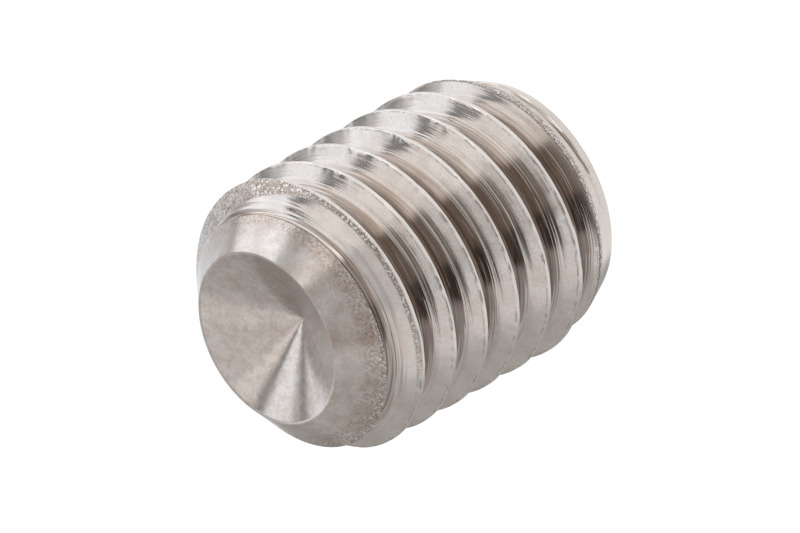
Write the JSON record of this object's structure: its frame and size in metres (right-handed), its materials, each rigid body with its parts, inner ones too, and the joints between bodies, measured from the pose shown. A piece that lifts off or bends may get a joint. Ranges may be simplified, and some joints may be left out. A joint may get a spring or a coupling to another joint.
{
  "type": "grub set screw",
  "caption": "Headless stainless steel set screw with a right-hand metric thread, a hexagon socket in one end and a hollow cup point on the other.",
  "frame": {"origin": "centre of the flat socket-end face, which the screw stands on", "axes": "+Z along the screw's axis, from the socket end to the cup point; +X is the side where the middle of a thread turn meets the socket-end face"},
  "size_m": [0.008, 0.008, 0.01],
  "materials": {
    "steel": "plain stainless steel, rolled thread with fine lines around the axis, duller mottled cup point"
  },
  "bodies": {
    "root": {"set_screw": "steel"}
  },
  "joints": []
}
